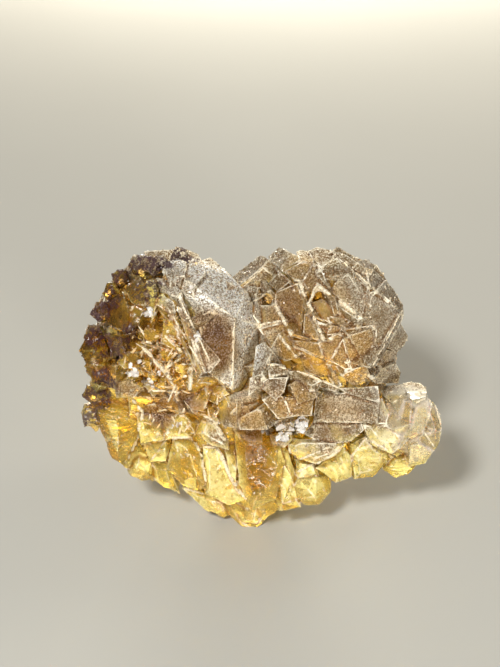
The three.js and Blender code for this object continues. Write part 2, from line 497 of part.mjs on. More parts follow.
// The body behind the broken pieces and under the clusters, as hulls that taper down to the foot.
const CORE_PIECES = [
  { middle: new THREE.Vector3(-2, 3, 15), radii: [16.5, 9.5, 8.5], points: 20, seed: 31 },
  { middle: new THREE.Vector3(-9, 4, 14), radii: [10.5, 8.5, 8.5], points: 18, seed: 32 },
  { middle: new THREE.Vector3(8, 4, 13), radii: [12.5, 8.5, 8], points: 18, seed: 33 },
  { middle: new THREE.Vector3(-1, 1, 7), radii: [12, 7.6, 5.6], points: 18, seed: 34 },
  { middle: new THREE.Vector3(0.5, 6.5, 22), radii: [4.5, 6.5, 9], points: 14, seed: 35 },
  { middle: new THREE.Vector3(17.6, -1.4, 11.8), radii: [5.6, 4.4, 3.6], points: 14, seed: 36 },
];

// Broken pieces over the bowl, on the sides that the view doesn't show.
function bowlPieces({ count, size, seed }) {
  const random = numbers(seed);
  const [smallest, largest] = size;
  return evenDirections(count).flatMap((direction, i) => {
    const middle = direction.clone().multiply(new THREE.Vector3(...BOWL.radii)).add(BOWL.middle);
    const radii = [0, 1, 2].map(() => smallest + (largest - smallest) * random());
    const turn = [0, 1, 2].map(() => 90 * random());
    const hidden = VIEW.eye.clone().sub(middle).normalize().dot(direction) < -0.05;
    const beside = middle.z > 3.6 && middle.z < 18;
    return hidden && beside ? [chunk({ middle, radii, points: 11, seed: seed + i, turn })] : [];
  });
}

// The foot's outline where it meets the table, a narrow tip in front and wider behind, and the
// outline that it widens to inside the base.
const FOOT_OUTLINE = [
  [-1.0, -7.0],
  [1.0, -7.0],
  [4.4, -1.8],
  [4.8, 4.2],
  [1.2, 7.0],
  [-3.4, 6.4],
  [-4.8, 0.4],
];
const FOOT_ROOT = [
  [-3.6, -6.4],
  [3.6, -6.2],
  [8.6, -3.6],
  [9.6, 4.8],
  [2.0, 10.2],
  [-7.6, 9.2],
  [-9.6, -1.6],
];

function footBlock() {
  const base = FOOT_OUTLINE.map(([x, y]) => new THREE.Vector3(x, y, 0));
  const root = FOOT_ROOT.map(([x, y]) => new THREE.Vector3(x, y, FOOT_HEIGHT));
  return solidFrom(new ConvexGeometry([...base, ...root]), new THREE.Matrix4());
}

// Everything above the resting plane.
function aboveRestingPlane() {
  const side = 200;
  return solidFrom(
    new THREE.BoxGeometry(side, side, side),
    new THREE.Matrix4().makeTranslation(0, 0, side / 2),
  );
}

// The mass that a cluster's crystals grow out of.
function clusterCore({ middle, radius }) {
  return chunk({ middle, radii: Array(3).fill(radius * CORE_SHARE), points: 28, seed: 41 });
}

// A knob on the left cluster's rim, sunk in so that its outer side follows the cluster's outline.
function rimKnob({ at, radius }, i) {
  const point = pointOnBall(LEFT_CLUSTER, at);
  return chunk({ middle: point, radii: Array(3).fill(radius), points: 11, seed: 50 + i });
}

// The joined mass without the small hollows that are sealed in between its crystals.
function outerSkin(solid) {
  return solid.decompose().reduce((largest, body) => (body.volume() > largest.volume() ? body : largest));
}

function fluorite() {
  const solids = [
    ...[LEFT_CLUSTER, RIGHT_CLUSTER, END_KNOB].map(clusterCore),
    ...RIGHT_CRYSTALS.map((crystal) => seenCrystal(RIGHT_CLUSTER, crystal)),
    seenBoss(LEFT_CLUSTER, LARGE_CRYSTAL),
    ...LEFT_CRYSTALS.map((crystal) => seenCrystal(LEFT_CLUSTER, crystal)),
    ...SADDLE_CRYSTALS.map((crystal) => seenCrystal(SADDLE, crystal)),
    ...KNOB_CRYSTALS.map((crystal) => seenCrystal(END_KNOB, crystal)),
    ...scatteredCrystals(LEFT_CLUSTER, [...LEFT_CRYSTALS, ...RIM_KNOBS], HIDDEN_LEFT),
    ...scatteredCrystals(RIGHT_CLUSTER, RIGHT_CRYSTALS, HIDDEN_RIGHT),
    ...scatteredCrystals(END_KNOB, KNOB_CRYSTALS, HIDDEN_KNOB),
    ...RIM_KNOBS.map(rimKnob),
    ...bowlPieces(HIDDEN_BASE),
    ...FRONT_PIECES.map(seenPiece),
    ...CORE_PIECES.map(chunk),
    footBlock(),
  ];
  const joined = wasm.Manifold.union(solids).intersect(aboveRestingPlane());
  return outerSkin(joined.asOriginal().simplify(MERGE_WITHIN));
}

function geometryOf(solid) {
  const mesh = solid.getMesh();
  const positions = new Float32Array(mesh.numVert * 3);
  for (let i = 0; i < mesh.numVert; i++)
    positions.set(mesh.vertProperties.subarray(i * mesh.numProp, i * mesh.numProp + 3), i * 3);
  const geometry = new THREE.BufferGeometry();
  geometry.setAttribute("position", new THREE.BufferAttribute(positions, 3));
  geometry.setIndex(new THREE.BufferAttribute(mesh.triVerts, 1));
  return geometry;
}

const honey = new THREE.MeshStandardMaterial({ color: 0xb98a4a, roughness: 0.45, metalness: 0 });
const specimen = new THREE.Group();
const crystalMass = new THREE.Mesh(geometryOf(fluorite()), honey);
crystalMass.name = "fluorite_cluster";
specimen.add(crystalMass);

export default specimen;
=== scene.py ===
"""A honey fluorite specimen: two crusted clusters of cubes on a broken honey-yellow base."""

import math

import bpy
import bmesh
import numpy as np
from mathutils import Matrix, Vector, noise
from mathutils.bvhtree import BVHTree
from mathutils.kdtree import KDTree


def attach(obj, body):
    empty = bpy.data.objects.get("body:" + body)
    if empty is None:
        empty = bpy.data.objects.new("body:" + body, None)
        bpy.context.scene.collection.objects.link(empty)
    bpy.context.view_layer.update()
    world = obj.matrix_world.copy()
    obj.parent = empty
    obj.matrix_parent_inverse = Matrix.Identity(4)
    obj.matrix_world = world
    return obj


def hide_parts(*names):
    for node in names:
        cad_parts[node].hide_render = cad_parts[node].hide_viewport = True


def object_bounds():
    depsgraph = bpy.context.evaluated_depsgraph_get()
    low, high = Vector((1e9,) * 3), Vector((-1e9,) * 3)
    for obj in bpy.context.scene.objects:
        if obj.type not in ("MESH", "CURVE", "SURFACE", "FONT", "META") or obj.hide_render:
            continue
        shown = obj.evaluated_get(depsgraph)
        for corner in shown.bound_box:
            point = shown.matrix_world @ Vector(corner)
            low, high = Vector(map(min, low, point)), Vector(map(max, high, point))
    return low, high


MM = 0.001
NODE = "fluorite_cluster"

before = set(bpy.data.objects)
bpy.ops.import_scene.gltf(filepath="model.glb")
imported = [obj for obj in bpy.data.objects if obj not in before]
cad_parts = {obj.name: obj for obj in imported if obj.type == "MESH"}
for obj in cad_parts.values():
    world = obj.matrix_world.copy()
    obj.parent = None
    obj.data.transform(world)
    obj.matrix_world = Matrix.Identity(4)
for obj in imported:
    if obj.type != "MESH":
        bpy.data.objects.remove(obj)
cad_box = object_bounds()
LOWEST, HIGHEST = (np.array(corner) / MM for corner in cad_box)

# ---------------------------------------------------------------- camera

FRAME_SIZE = (500, 667)  # the photograph, in pixels
FOCAL_PIXELS = 1250.0
TILT = math.radians(36)  # how far the camera looks down
EYE = np.array([0.0, -131.6, 123.7])  # mm
REACH = 178  # mm from the eye to the middle of the specimen
FRAME_CENTRE = (250.0, 333.5)
SENSOR_WIDTH = 36.0  # mm
RIGHT = np.array([1.0, 0.0, 0.0])
UP = np.array([0.0, math.sin(TILT), math.cos(TILT)])
FORWARD = np.array([0.0, math.cos(TILT), -math.sin(TILT)])

camera_data = bpy.data.cameras.new("camera")
camera_data.sensor_fit = "AUTO"
camera_data.sensor_width = SENSOR_WIDTH
camera_data.lens = FOCAL_PIXELS / FRAME_SIZE[1] * SENSOR_WIDTH
camera_data.clip_start = 0.005
camera_data.clip_end = 20.0
camera = bpy.data.objects.new("camera", camera_data)
camera.location = EYE * MM
camera.rotation_euler = (math.pi / 2 - TILT, 0, 0)
bpy.context.scene.collection.objects.link(camera)
bpy.context.scene.camera = camera


def sight_line(pixel):
    """The direction from the eye through a pixel of the photograph's frame."""
    x, y = pixel
    line = FORWARD * FOCAL_PIXELS + RIGHT * (x - FRAME_CENTRE[0]) + UP * (FRAME_CENTRE[1] - y)
    return line / np.linalg.norm(line)


# ---------------------------------------------------------------- mesh helpers, in millimetres

WELD_STEPS = 2000  # to the millimetre: corners that round to the same step are one


def welded_solid(node):
    """The corners and triangles of a CAD node, in millimetres, with coincident corners joined."""
    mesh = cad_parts[node].data
    mesh.calc_loop_triangles()
    corners = np.empty(len(mesh.vertices) * 3, np.float32)
    mesh.vertices.foreach_get("co", corners)
    corners = corners.reshape(-1, 3).astype(float) / MM
    triangles = np.empty(len(mesh.loop_triangles) * 3, np.int32)
    mesh.loop_triangles.foreach_get("vertices", triangles)
    triangles = triangles.reshape(-1, 3)
    keys = np.round(corners * WELD_STEPS).astype(np.int64)
    _, first, joined = np.unique(keys, axis=0, return_index=True, return_inverse=True)
    triangles = joined.ravel()[triangles]
    flat = (
        (triangles[:, 0] == triangles[:, 1])
        | (triangles[:, 1] == triangles[:, 2])
        | (triangles[:, 2] == triangles[:, 0])
    )
    return corners[first], triangles[~flat]


def crossed_sides(points, triangles):
    """Each triangle's normal, as long as twice its area."""
    a, b, c = (points[triangles[:, i]] for i in range(3))
    return np.cross(b - a, c - a)


def unit(vectors):
    """Vectors made one long."""
    return vectors / np.maximum(np.linalg.norm(vectors, axis=-1, keepdims=True), 1e-12)


def point_normals(points, triangles):
    """Each point's normal, from the triangles round it."""
    crossed = crossed_sides(points, triangles)
    total = np.zeros_like(points)
    for i in range(3):
        np.add.at(total, triangles[:, i], crossed)
    return unit(total)


def refined(values, triangles, region):
    """Bisects every edge longer than the length wanted at its ends, which is values' last column.
    The first three columns are the points, and the others go along."""
    while True:
        ends = np.stack([triangles, np.roll(triangles, -1, axis=1)], axis=2)
        ends = np.sort(ends, axis=2)
        length = np.linalg.norm(values[ends[..., 0], :3] - values[ends[..., 1], :3], axis=2)
        split = length > (values[ends[..., 0], -1] + values[ends[..., 1], -1]) / 2
        if not split.any():
            return values, triangles, region
        pairs, which = np.unique(ends[split], axis=0, return_inverse=True)
        middle = np.full(split.shape, -1)
        middle[split] = len(values) + which.ravel()
        values = np.vstack([values, (values[pairs[:, 0]] + values[pairs[:, 1]]) / 2])
        count = split.sum(axis=1)
        parts, places = [triangles[count == 0]], [region[count == 0]]
        for turn in range(3):
            t, m = np.roll(triangles, -turn, axis=1), np.roll(middle, -turn, axis=1)
            s = np.roll(split, -turn, axis=1)
            one = (count == 1) & s[:, 0]
            a, b, c = t[one].T
            p = m[one, 0]
            parts += [np.stack([a, p, c], 1), np.stack([p, b, c], 1)]
            places += [region[one]] * 2
            two = (count == 2) & s[:, 0] & s[:, 1]
            a, b, c = t[two].T
            p, q = m[two, 0], m[two, 1]
            aq = np.linalg.norm(values[a, :3] - values[q, :3], axis=1)
            pc = np.linalg.norm(values[p, :3] - values[c, :3], axis=1)
            short = (aq < pc)[:, None]
            parts += [
                np.stack([p, b, q], 1),
                np.where(short, np.stack([a, p, q], 1), np.stack([a, p, c], 1)),
                np.where(short, np.stack([a, q, c], 1), np.stack([p, q, c], 1)),
            ]
            places += [region[two]] * 3
        three = count == 3
        a, b, c = triangles[three].T
        p, q, r = middle[three].T
        parts += [np.stack(x, 1) for x in ([a, p, r], [p, b, q], [r, q, c], [p, q, r])]
        places += [region[three]] * 4
        triangles, region = np.vstack(parts), np.concatenate(places)


def creases(points, triangles):
    """Each edge's ends, the triangles beside it, its bend in degrees, and whether it stands out."""
    normal = unit(crossed_sides(points, triangles))
    middle = points[triangles].mean(axis=1)
    ends = np.sort(np.stack([triangles, np.roll(triangles, -1, axis=1)], axis=2), axis=2).reshape(-1, 2)
    owner = np.repeat(np.arange(len(triangles)), 3)
    order = np.lexsort((ends[:, 1], ends[:, 0]))
    ends, owner = ends[order], owner[order]
    first = np.nonzero(np.all(ends[1:] == ends[:-1], axis=1))[0]
    left, right = owner[first], owner[first + 1]
    bend = np.degrees(np.arccos(np.clip((normal[left] * normal[right]).sum(axis=1), -1, 1)))
    outward = ((middle[right] - middle[left]) * normal[left]).sum(axis=1) < 0
    return ends[first], left, right, bend, outward


def along(points, ends, step):
    """Points every step along some edges."""
    found = []
    for a, b in zip(points[ends[:, 0]], points[ends[:, 1]]):
        count = max(1, int(np.linalg.norm(b - a) / step))
        shares = (np.arange(count + 1) / count)[:, None]
        found.append(a + (b - a) * shares)
    return np.vstack(found)


def nearest(points, targets, most):
    """How far each point is from the nearest target, at most most."""
    tree = KDTree(len(targets))
    for i, target in enumerate(targets):
        tree.insert(target, i)
    tree.balance()
    return np.array([min(tree.find(point)[2], most) for point in points])


def even_directions(count):
    """Directions spread evenly over a sphere."""
    i = np.arange(count) + 0.5
    height = 1 - 2 * i / count
    turn = math.pi * (1 + math.sqrt(5)) * i
    side = np.sqrt(1 - height**2)
    return np.stack([side * np.cos(turn), side * np.sin(turn), height], axis=1)


def smoothstep(low, high, value):
    """A soft step from 0 at low to 1 at high."""
    share = np.clip((value - low) / (high - low), 0, 1)
    return share * share * (3 - 2 * share)


def wander(points, size, seed=0.0):
    """Smooth noise from about -1 to 1 whose features are about size millimetres across."""
    return np.array([noise.noise(Vector(p)) for p in points / size + seed])


def ridged(points, size, octaves, seed=0.0):
    """Ridged noise from 0 to about 1."""
    found = [noise.ridged_multi_fractal(Vector(p), 0.9, 2.1, octaves, 1.0, 2.0) for p in points / size + seed]
    return np.clip(np.array(found) / 2.2, 0, 1)


def mesh_object(name, points, triangles, attributes):
    """A mesh of points in millimetres, with one value a point for each attribute."""
    mesh = bpy.data.meshes.new(name)
    mesh.from_pydata((points * MM).tolist(), [], triangles.tolist())
    for label, values in attributes.items():
        layer = mesh.attributes.new(label, "FLOAT", "POINT")
        layer.data.foreach_set("value", np.asarray(values, np.float32))
    mesh.update()
    made = bpy.data.objects.new(name, mesh)
    bpy.context.scene.collection.objects.link(made)
    return made


def place(piece, material):
    """Makes a mesh a piece of the specimen, in place of the CAD solid."""
    piece.data.materials.append(material)
    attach(piece, "root")
    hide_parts(NODE)
    return piece


# ---------------------------------------------------------------- the crystal mass

ONE_FACE = 6  # degrees: triangles that bend less than this are one crystal face
CREASE = 24  # degrees: edges that bend more than this are crystal edges or cracks
FIRST_LENGTH = 1.1  # mm, the edge length on which the zones are first judged
EDGE_LENGTH = 0.84  # mm, the edge length on smooth crust
FINER, FINER_IN_FRONT = 0.27, 0.09  # mm, how much shorter it is where the surface is rugged
RIM_REACH = 2.0  # mm, how far edges and cracks are felt
LOOKED, LOWEST_LOOK = 40, 0.15  # directions on a whole sphere, and the sine of the lowest one used
LOOK_START = 0.06  # mm above the surface, where the looks start
HOLLOW_REACH = 5.0  # mm, how near the mass is where it encloses a place

solid_points, solid_triangles = welded_solid(NODE)
solid_tree = BVHTree.FromPolygons(solid_points.tolist(), solid_triangles.tolist())


def seen_at(tree, pixel):
    """Where the sight line through a pixel first meets a surface, and the surface's direction there."""
    line = sight_line(pixel)
    spot, normal, _, _ = tree.ray_cast(Vector(EYE), Vector(line))
    if spot is None:
        spot, normal, _, _ = tree.find_nearest(Vector(EYE + line * REACH))
    return np.array(spot), np.array(normal)


ends, left, right, bend, outward = creases(solid_points, solid_triangles)

# Faces that lie in one plane are one crystal face; each has a tone of its own.
owner = list(range(len(solid_triangles)))


def first_of(i):
    """The triangle that stands for i's crystal face."""
    while owner[i] != i:
        owner[i] = owner[owner[i]]
        i = owner[i]
    return i


for a, b in zip(left[bend < ONE_FACE].tolist(), right[bend < ONE_FACE].tolist()):
    a, b = first_of(a), first_of(b)
    if a != b:
        owner[b] = a
region = np.array([first_of(i) for i in range(len(solid_triangles))])
tones = np.random.default_rng(5).random(len(solid_triangles))

values = np.column_stack([solid_points, np.full(len(solid_points), FIRST_LENGTH)])
values, triangles, region = refined(values, solid_triangles, region)
points = values[:, :3]

# How enclosed each place is: the share of directions that soon meet the mass again.
normal = point_normals(points, triangles)
directions = even_directions(LOOKED)
closed = np.zeros(len(points))
for i, (spot, up) in enumerate(zip(points, normal)):
    start = Vector(spot + up * LOOK_START)
    facing = directions[directions @ up > LOWEST_LOOK][::2]
    hits = sum(1 for d in facing if solid_tree.ray_cast(start, d, HOLLOW_REACH)[0] is not None)
    closed[i] = hits / len(facing)

# ---------------------------------------------------------------- zones of colour and crust

WHOLE_TO = 0.35  # the share of a spot's radius in which it has its full strength
WARP, WARP_SIZE = 0.9, 1.6  # mm that a zone's edge strays, and the size of its waves
CRUST_FROM, CRUST_FULL = 12.5, 17.5  # mm above the foot, where the crust starts and is whole
CRUST_WAVE, CRUST_WAVE_SIZE = 3.0, 3.0  # mm up and down that its lower edge strays, and how slowly
LESS_IN_HOLLOWS, LESS_ON_CLEAR = 0.5, 0.85  # the share of the crust that is missing there


def zone(spots):
    """The strongest of some soft, uneven spots: pixel, radius in mm, strength."""
    found = np.zeros(len(points))
    for pixel, radius, strength in spots:
        middle, _ = seen_at(solid_tree, pixel)
        away = np.linalg.norm(points + warp - middle, axis=1)
        found = np.maximum(found, strength * (1 - smoothstep(radius * WHOLE_TO, radius, away)))
    return found


def warped():
    """How far each point strays when its zone is looked up, so that zones have uneven edges."""
    return np.stack([wander(points, WARP_SIZE, 10.0 * k) for k in (1, 2, 3)], axis=1) * WARP


# Windows in the crust where the honey inside shows.
BARE = [
    ((316, 297), 2.2, 1.0),
    ((322, 362), 3.0, 0.5),
    ((324, 312), 2.0, 0.5),
    ((216, 346), 3.2, 0.3),
    ((150, 350), 7.0, 0.95),
    ((168, 376), 6.0, 0.9),
    ((131, 312), 6.5, 0.95),
    ((118, 285), 5.0, 0.7),
    ((93, 360), 6.0, 1.0),
    ((110, 400), 6.0, 1.0),
    ((140, 420), 6.5, 1.0),
    ((185, 418), 6.0, 0.95),
    ((205, 402), 4.8, 0.8),
]
# Deep honey under the crust.
AMBER = [
    ((310, 335), 7.5, 1.0),
    ((290, 314), 6.0, 1.0),
    ((306, 297), 4.0, 0.8),
    ((338, 361), 4.5, 0.9),
    ((296, 268), 4.5, 0.6),
    ((322, 357), 5.5, 1.0),
    ((325, 300), 4.5, 0.7),
    ((345, 372), 4.0, 0.7),
    ((280, 360), 4.5, 0.8),
    ((355, 345), 4.0, 0.5),
    ((346, 410), 3.4, 0.4),
    ((160, 350), 7.0, 0.8),
    ((125, 320), 7.0, 0.6),
    ((95, 365), 5.0, 0.6),
    ((170, 400), 6.5, 0.6),
    ((215, 346), 4.0, 0.6),
    ((200, 402), 5.0, 0.7),
    ((250, 405), 4.5, 0.6),
    ((254, 448), 4.4, 1.0),
    ((256, 474), 3.8, 0.9),
    ((192, 460), 2.2, 0.6),
    ((300, 405), 4.5, 0.8),
]
# Thickly crusted faces, with a painted silvery sheen where they face up into the light.
CRUST_AND_SHEEN = [
    ((215, 284), 7.0, 1.0),
    ((203, 268), 4.5, 0.8),
    ((232, 300), 4.5, 1.0),
    ((248, 325), 6.0, 1.0),
    ((248, 356), 5.0, 1.0),
    ((238, 386), 4.5, 1.0),
    ((180, 266), 4.0, 0.7),
    ((168, 290), 3.0, 0.5),
    ((206, 366), 3.0, 0.6),
    ((346, 410), 3.4, 0.45),
    ((385, 300), 6.0, 0.3),
    ((396, 335), 5.0, 0.4),
    ((385, 372), 4.5, 0.4),
    ((345, 292), 3.0, 0.3),
    ((244, 282), 3.0, 0.5),
]
# Purple-black growth.
DARK = [
    ((128, 272), 3.2, 0.9),
    ((112, 300), 2.6, 0.9),
    ((98, 316), 2.2, 0.8),
    ((96, 336), 2.6, 0.8),
    ((88, 395), 2.6, 0.9),
    ((90, 416), 2.4, 1.0),
    ((150, 260), 3.0, 0.8),
    ((182, 256), 3.2, 1.0),
    ((163, 268), 2.6, 0.8),
    ((146, 290), 3.4, 0.8),
    ((128, 335), 3.0, 0.8),
    ((112, 350), 2.6, 0.8),
    ((106, 378), 2.6, 0.8),
    ((100, 396), 2.2, 0.8),
]
# Darker brown honey, and painted shade in the sheltered hollows and on faces turned away from the light.
BROWN_AND_SHADE = [
    ((217, 336), 4.0, 1.0),
    ((221, 352), 3.4, 1.0),
    ((211, 322), 2.6, 0.7),
    ((92, 345), 5.0, 1.0),
    ((94, 370), 5.0, 1.0),
    ((104, 312), 4.5, 1.0),
    ((122, 288), 5.0, 0.9),
    ((150, 268), 3.5, 0.6),
    ((92, 396), 3.5, 0.8),
    ((118, 330), 5.0, 0.7),
    ((135, 352), 3.5, 0.5),
    ((190, 392), 3.0, 0.6),
    ((286, 306), 3.5, 0.5),
    ((318, 296), 2.2, 0.8),
    ((254, 446), 4.4, 0.9),
    ((254, 474), 3.6, 0.7),
    ((158, 408), 4.6, 1.0),
    ((180, 402), 4.2, 0.9),
    ((192, 426), 2.4, 0.6),
    ((208, 408), 3.2, 0.6),
    ((385, 355), 3.0, 0.4),
]
# Colourless crystal at the right end.
CLEAR = [
    ((415, 405), 5.5, 1.0),
    ((412, 450), 5.5, 1.0),
    ((432, 430), 4.5, 1.0),
    ((392, 400), 3.0, 0.6),
]
# Thin crests, frosted so that they do not glare with the light behind them.
FROSTED = [
    ((182, 254), 5.0, 1.0),
    ((200, 258), 5.0, 1.0),
    ((312, 252), 5.5, 1.0),
    ((336, 254), 4.5, 1.0),
    ((409, 387), 4.4, 1.0),
]
# Pale, pearly broken crystal.
PALE = [
    ((178, 428), 2.4, 0.9),
    ((150, 428), 2.4, 0.6),
    ((160, 455), 3.2, 0.8),
    ((138, 466), 3.0, 0.8),
    ((176, 446), 2.4, 0.7),
    ((214, 440), 3.6, 1.0),
    ((217, 462), 4.2, 1.0),
    ((226, 488), 4.2, 1.0),
    ((204, 500), 4.0, 0.8),
    ((246, 512), 3.0, 0.4),
    ((300, 470), 4.6, 0.9),
    ((318, 456), 5.2, 1.0),
    ((345, 458), 5.2, 1.0),
    ((370, 450), 4.6, 0.9),
    ((312, 492), 3.5, 0.7),
    ((386, 438), 4.0, 0.9),
    ((404, 460), 3.0, 0.6),
]
# Crust on low or sheltered places, where crust() gives little.
CRUSTED = [
    ((268, 298), 1.8, 1.0),
    ((160, 410), 3.6, 0.8),
    ((185, 404), 3.4, 0.8),
    ((345, 407), 4.2, 0.55),
    ((316, 450), 4.0, 0.6),
    ((384, 396), 3.0, 0.6),
    ((250, 420), 2.6, 0.5),
]
# Broken faces with fine ribs.
RIBBED = [
    ((116, 430), 5.5, 1.0),
    ((402, 466), 4.5, 1.0),
    ((366, 452), 3.5, 0.5),
    ((250, 470), 4.0, 0.12),
]
# Rugged, knobby growth with small relief.
KNOBBY = [
    ((105, 330), 9.0, 1.0),
    ((140, 285), 8.0, 1.0),
    ((160, 365), 8.0, 1.0),
    ((90, 400), 6.0, 1.0),
]
# The zones that the materials read.
ZONES = {
    "amber": AMBER,
    "frosted": FROSTED,
    "crust_and_sheen": CRUST_AND_SHEEN,
    "brown_and_shade": BROWN_AND_SHADE,
    "dark": DARK,
    "clear": CLEAR,
    "pale": PALE,
    "ribbed": RIBBED,
}
GRAIN_ZONES = ("amber", "frosted", "brown_and_shade", "dark")


def crust():
    """How thickly each point is crusted."""
    height = points[:, 2] + wander(points, CRUST_WAVE_SIZE) * CRUST_WAVE
    found = smoothstep(CRUST_FROM, CRUST_FULL, height)
    found *= 1 - zone(BARE)
    found *= 1 - LESS_IN_HOLLOWS * smoothstep(0.5, 0.9, closed)
    found = np.maximum(found, zone(CRUSTED))
    return found * (1 - LESS_ON_CLEAR * zone(CLEAR))


warp = warped()
rugged = np.maximum(1 - crust(), zone(KNOBBY))
seen = smoothstep(-6, 2, 6 - points[:, 1])  # 1 in front, which the camera sees, to 0 at the back
wanted = EDGE_LENGTH - (FINER + FINER_IN_FRONT * seen) * rugged
values = np.column_stack([points, closed, wanted])
values, triangles, region = refined(values, triangles, region)
points, closed = values[:, :3], values[:, 3]

warp = warped()
coat, knobby = crust(), zone(KNOBBY)
zones = {name: zone(spots) for name, spots in ZONES.items()}
bare = 1 - smoothstep(0.2, 0.7, coat)
height = points[:, 2]
rim = nearest(points, along(solid_points, ends[(bend > CREASE) & outward], step=0.2), RIM_REACH)
crack = nearest(points, along(solid_points, ends[(bend > CREASE) & ~outward], step=0.2), RIM_REACH)

# ---------------------------------------------------------------- fine relief

CRUST_RELIEF, BROKEN_RELIEF, BROKEN_GRAIN, KNOBBY_RELIEF = 0.035, 0.42, 0.04, 0.5  # mm inwards
RELIEF_OFF = 0.12  # mm taken off it again where the surface is rugged, so that it keeps its size
SHARP, SHARPER_WHERE_BARE = 20, 34  # degrees of bend from which an edge is shaded sharp

normal = point_normals(points, triangles)
rng = np.random.default_rng(11)
broken = ridged(points, 3.2, 4)
relief = coat * CRUST_RELIEF * rng.random(len(points))
relief += bare * (BROKEN_RELIEF * broken + BROKEN_GRAIN * rng.random(len(points)))
relief += knobby * KNOBBY_RELIEF * ridged(points, 1.3, 3, 40.0)
relief -= bare * RELIEF_OFF + knobby * RELIEF_OFF
relief *= smoothstep(0.02, 0.3, height)  # the foot stays flat
points = points - normal * relief[:, None]
points = np.clip(points, LOWEST, HIGHEST)
points[:, 2] = np.maximum(points[:, 2], 0)

body = mesh_object("crystal_mass", points, triangles, {"rim": rim, "crack": crack, "coat": coat, **zones})
layer = body.data.attributes.new("tone", "FLOAT", "FACE")
layer.data.foreach_set("value", tones[region].astype(np.float32))
body.data.shade_smooth()

# Crystal edges stay sharp, and the broken faces of the base run softly into each other.
edge_ends, _, _, edge_bend, _ = creases(points, triangles)
sharp = edge_bend > SHARP + SHARPER_WHERE_BARE * bare[edge_ends].mean(axis=1)
keys = edge_ends[:, 0] * len(points) + edge_ends[:, 1]
pairs = np.empty(len(body.data.edges) * 2, np.int32)
body.data.edges.foreach_get("vertices", pairs)
pairs = np.sort(pairs.reshape(-1, 2).astype(np.int64), axis=1)
found = np.searchsorted(keys, pairs[:, 0] * len(points) + pairs[:, 1])
found = np.minimum(found, len(keys) - 1)
layer = body.data.attributes.new("sharp_edge", "BOOLEAN", "EDGE")
layer.data.foreach_set("value", sharp[found])

# ---------------------------------------------------------------- grains, crystals and flakes on it

body_tree = BVHTree.FromPolygons(points.tolist(), triangles.tolist())
face_normal = unit(crossed_sides(points, triangles))
face_area = np.linalg.norm(crossed_sides(points, triangles), axis=1) / 2

CUBE = np.array([[x, y, z] for x in (-1, 1) for y in (-1, 1) for z in (-1, 1)]) * 0.5
CUBE_FACES = np.array(
    [[0, 1, 3], [0, 3, 2], [4, 6, 7], [4, 7, 5], [0, 4, 5], [0, 5, 1]]
    + [[2, 3, 7], [2, 7, 6], [0, 2, 6], [0, 6, 4], [1, 5, 7], [1, 7, 3]]
)


def flake(seed):
    """A small irregular convex chip about 1 across."""
    random = np.random.default_rng(seed)
    work = bmesh.new()
    for corner in unit(random.normal(size=(9, 3))) * (0.5 * (0.8 + 0.2 * random.random((9, 1)))):
        work.verts.new(corner)
    bmesh.ops.convex_hull(work, input=work.verts)
    bmesh.ops.triangulate(work, faces=work.faces)
    loose = [v for v in work.verts if not v.link_faces]
    bmesh.ops.delete(work, geom=loose)
    work.verts.index_update()
    corners = np.array([v.co for v in work.verts])
    faces = np.array([[v.index for v in f.verts] for f in work.faces])
    work.free()
    return corners, faces


FLAKES = [flake(900 + i) for i in range(12)]
MARGIN = 0.01  # mm that small pieces keep inside the CAD solid's box
CLEARANCE = 0.05  # mm that they keep above the floor


def chosen(weight, count, rng):
    """Random places on the crystal mass, more where weight (one value a point) is high."""
    share = face_area * weight[triangles].mean(axis=1)
    total = np.cumsum(share)
    face = np.searchsorted(total, rng.random(count) * total[-1])
    u, v = rng.random((2, count))
    flip = u + v > 1
    u, v = np.where(flip, 1 - u, u), np.where(flip, 1 - v, v)
    a, b, c = (points[triangles[face, i]] for i in range(3))
    spots = a + (b - a) * u[:, None] + (c - a) * v[:, None]
    return spots, face_normal[face], triangles[face, 0]


def turned(normals, tilt, rng):
    """Random frames whose third axis leans up to tilt degrees from the given directions."""
    lean = unit(rng.normal(size=normals.shape)) * np.tan(np.radians(tilt)) * rng.random((len(normals), 1))
    up = unit(normals + lean)
    side = unit(np.cross(up, unit(rng.normal(size=normals.shape))))
    return np.stack([side, np.cross(up, side), up], axis=2)


def gathered(shapes, spots, frames, sizes, sink, picks):
    """One mesh of many small solids: each of shapes[pick], scaled by sizes, set sink of its height deep."""
    corners, faces, count, which = [], [], 0, []
    for i, (spot, axes, size) in enumerate(zip(spots, frames, sizes)):
        shape, sides = shapes[picks[i]]
        made = (shape * size) @ axes.T + spot + axes[:, 2] * size[2] * (0.5 - sink[i])
        outside = (made < LOWEST + MARGIN).any() or (made > HIGHEST - MARGIN).any()
        if outside or made[:, 2].min() < CLEARANCE:
            continue
        corners.append(made)
        faces.append(sides + count)
        which.append(np.full(len(made), i))
        count += len(made)
    return np.vstack(corners), np.vstack(faces), np.concatenate(which)


def grains(name, weight, count, size, seed, tilt=60, sink=0.45, flat=0.7, shapes=None):
    """Small crystals scattered on the mass as one piece, carrying its zones along."""
    random = np.random.default_rng(seed)
    spots, up, near_point = chosen(weight, count, random)
    across = size[0] + (size[1] - size[0]) * random.random(count) ** 2
    sizes = across[:, None] * np.column_stack(
        [np.ones(count), 0.75 + 0.5 * random.random(count), flat + 0.5 * random.random(count)]
    )
    shapes = shapes or [(CUBE, CUBE_FACES)]
    picks = random.integers(len(shapes), size=count)
    sunk = sink * (0.8 + 0.5 * random.random(count))
    corners, faces, which = gathered(shapes, spots, turned(up, tilt, random), sizes, sunk, picks)
    carried = {label: zones[label][near_point[which]] for label in GRAIN_ZONES}
    return mesh_object(name, corners, faces, {"tone": random.random(count)[which], **carried})


# ---------------------------------------------------------------- materials


